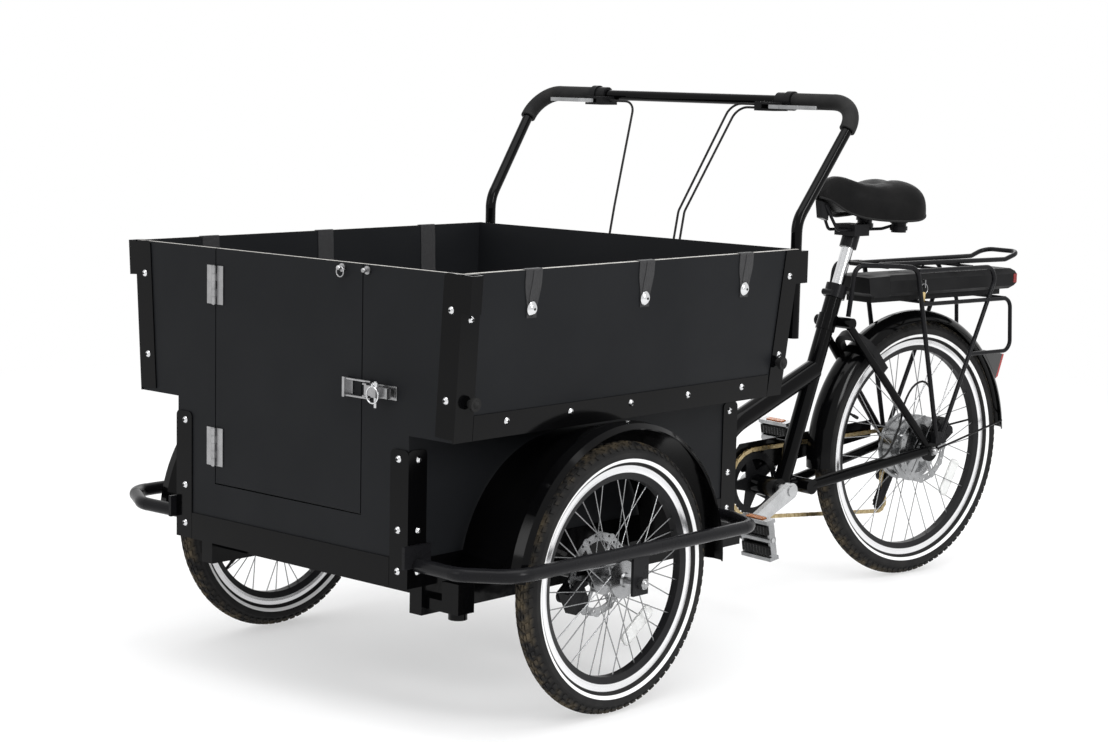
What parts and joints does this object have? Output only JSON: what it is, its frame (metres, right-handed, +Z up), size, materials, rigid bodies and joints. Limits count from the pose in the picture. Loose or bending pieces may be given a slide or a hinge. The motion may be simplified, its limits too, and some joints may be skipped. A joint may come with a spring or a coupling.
{
  "type": "cargo tricycle",
  "caption": "Electrically assisted cargo tricycle: a panelled box with benches and a door between the front wheels, steered by a pedalled rear frame that turns under it.",
  "frame": {"origin": "on the floor under the middle of the tricycle's length and width", "axes": "+X forward along the box, +Y to the rider's left, +Z up"},
  "size_m": [2.1263, 1.082, 1.125],
  "materials": {
    "panel_black": "satin film-faced board",
    "gloss_black": "gloss black paint",
    "satin_black": "satin black powder coat",
    "rim_black": "black anodised with machined bands",
    "steel": "brushed",
    "chrome": "polished",
    "silver": "satin silver",
    "black_plastic": "matt",
    "lamp": "red lens in a black case",
    "rubber": "matt",
    "tyre": "dusty",
    "webbing": "woven",
    "saddle": "padded black cover",
    "chain": "oiled"
  },
  "bodies": {
    "box": {"chassis_frame": "gloss_black", "floor_board": "panel_black", "front_panel": "panel_black", "rear_panel": "panel_black", "lower_side_panels": "panel_black", "upper_side_panels": "panel_black", "benches": "panel_black", "box_trim": "gloss_black", "corner_sockets": "gloss_black", "panel_screws": "chrome", "stop_knobs": "rubber", "harness_straps": "webbing", "front_fenders": "gloss_black", "guard_bars": "satin_black", "front_axles": "steel", "front_calipers": "satin_black", "handlebar": "gloss_black", "grips": "rubber", "lever_clamps": "black_plastic", "brake_cables": "rubber", "door_hardware": "steel"},
    "door": {"door": "panel_black", "door_fittings": "steel"},
    "latch_lever": {"latch_lever": "steel"},
    "latch_pin": {"latch_pin": "chrome"},
    "left_brake_lever": {"left_brake_lever": "silver"},
    "right_brake_lever": {"right_brake_lever": "silver"},
    "left_front_wheel": {"left_front_tyre": "tyre", "left_front_rim": "rim_black", "left_front_hub": "silver"},
    "right_front_wheel": {"right_front_tyre": "tyre", "right_front_rim": "rim_black", "right_front_hub": "silver"},
    "rear_frame": {"main_frame": "gloss_black", "rear_stays": "gloss_black", "rear_axle": "steel", "rear_fender": "gloss_black", "luggage_rack": "satin_black", "battery_cradle": "black_plastic", "seat_clamp": "satin_black", "chain": "chain", "derailleur": "satin_black", "chain_guard": "gloss_black", "rear_brake": "satin_black", "ring_lock": "black_plastic", "tail_lamp": "lamp"},
    "rear_wheel": {"rear_tyre": "tyre", "rear_rim": "rim_black", "rear_hub": "silver"},
    "seat": {"seat_post": "chrome", "saddle_frame": "satin_black", "saddle": "saddle"},
    "battery": {"battery": "black_plastic"},
    "battery_key": {"battery_key": "steel"},
    "crank": {"crankset": "silver"},
    "left_pedal": {"left_pedal": "silver"},
    "right_pedal": {"right_pedal": "silver"},
    "sprockets": {"sprockets": "steel"},
    "upper_pulley": {"upper_pulley": "black_plastic"},
    "lower_pulley": {"lower_pulley": "black_plastic"}
  },
  "joints": [
    {"name": "steering", "type": "hinge", "parent": "box", "child": "rear_frame", "pos_m": [0.372, 0, 0.2], "axis": [0, 0, 1], "range_deg": [-21.8, 38.2]},
    {"name": "left_front_wheel_spin", "type": "hinge", "parent": "box", "child": "left_front_wheel", "pos_m": [0.659, 0.46, 0.25], "axis": [0, 1, 0], "continuous": true},
    {"name": "right_front_wheel_spin", "type": "hinge", "parent": "box", "child": "right_front_wheel", "pos_m": [0.659, -0.46, 0.25], "axis": [0, 1, 0], "continuous": true},
    {"name": "rear_wheel_spin", "type": "hinge", "parent": "rear_frame", "child": "rear_wheel", "pos_m": [-0.74447, 0.16089, 0.3], "axis": [0.1426, 0.9898, 0], "continuous": true},
    {"name": "crank_spin", "type": "hinge", "parent": "rear_frame", "child": "crank", "pos_m": [-0.29313, 0.09585, 0.251], "axis": [0.1426, 0.9898, 0], "continuous": true},
    {"name": "left_pedal_spin", "type": "hinge", "parent": "crank", "child": "left_pedal", "pos_m": [-0.13139, 0.19681, 0.17354], "axis": [0.1426, 0.9898, 0], "continuous": true},
    {"name": "right_pedal_spin", "type": "hinge", "parent": "crank", "child": "right_pedal", "pos_m": [-0.45487, -0.00512, 0.32846], "axis": [0.1426, 0.9898, 0], "continuous": true},
    {"name": "sprocket_spin", "type": "hinge", "parent": "rear_frame", "child": "sprockets", "pos_m": [-0.75089, 0.11635, 0.3], "axis": [0.1426, 0.9898, 0], "continuous": true},
    {"name": "upper_pulley_spin", "type": "hinge", "parent": "rear_frame", "child": "upper_pulley", "pos_m": [-0.73703, 0.11435, 0.224], "axis": [0.1426, 0.9898, 0], "continuous": true},
    {"name": "lower_pulley_spin", "type": "hinge", "parent": "rear_frame", "child": "lower_pulley", "pos_m": [-0.70734, 0.11007, 0.166], "axis": [0.1426, 0.9898, 0], "continuous": true},
    {"name": "door_swing", "type": "hinge", "parent": "box", "child": "door", "pos_m": [1.0417, -0.20325, 0.6], "axis": [0, 0, -1], "range_deg": [0, 120]},
    {"name": "latch_lever_swing", "type": "hinge", "parent": "box", "child": "latch_lever", "pos_m": [1.045, 0.214, 0.601], "axis": [0, 0, -1], "range_deg": [0, 115]},
    {"name": "latch_pin_pull", "type": "slide", "parent": "latch_lever", "child": "latch_pin", "axis": [0, 0, 1], "range_m": [0, 0.03]},
    {"name": "left_brake", "type": "hinge", "parent": "box", "child": "left_brake_lever", "pos_m": [-0.058, 0.245, 1.093], "axis": [0, 0, 1], "range_deg": [0, 10], "stiffness_Nm_per_rad": 4},
    {"name": "right_brake", "type": "hinge", "parent": "box", "child": "right_brake_lever", "pos_m": [-0.058, -0.245, 1.093], "axis": [0, 0, -1], "range_deg": [0, 10], "stiffness_Nm_per_rad": 4},
    {"name": "seat_height", "type": "slide", "parent": "rear_frame", "child": "seat", "axis": [-0.3326, 0.0479, 0.9418], "range_m": [-0.02, 0.06]},
    {"name": "battery_slide", "type": "slide", "parent": "rear_frame", "child": "battery", "axis": [-0.9898, 0.1426, 0], "range_m": [0, 0.45]},
    {"name": "battery_key_turn", "type": "hinge", "parent": "battery", "child": "battery_key", "pos_m": [-0.69505, 0.20933, 0.69], "axis": [0.1426, 0.9898, 0], "range_deg": [0, 90]}
  ],
  "couplings": [
    {"joint": "sprocket_spin", "follows": "crank_spin", "ratio": 2.1111},
    {"joint": "upper_pulley_spin", "follows": "crank_spin", "ratio": -3.4545},
    {"joint": "lower_pulley_spin", "follows": "crank_spin", "ratio": 3.4545}
  ]
}
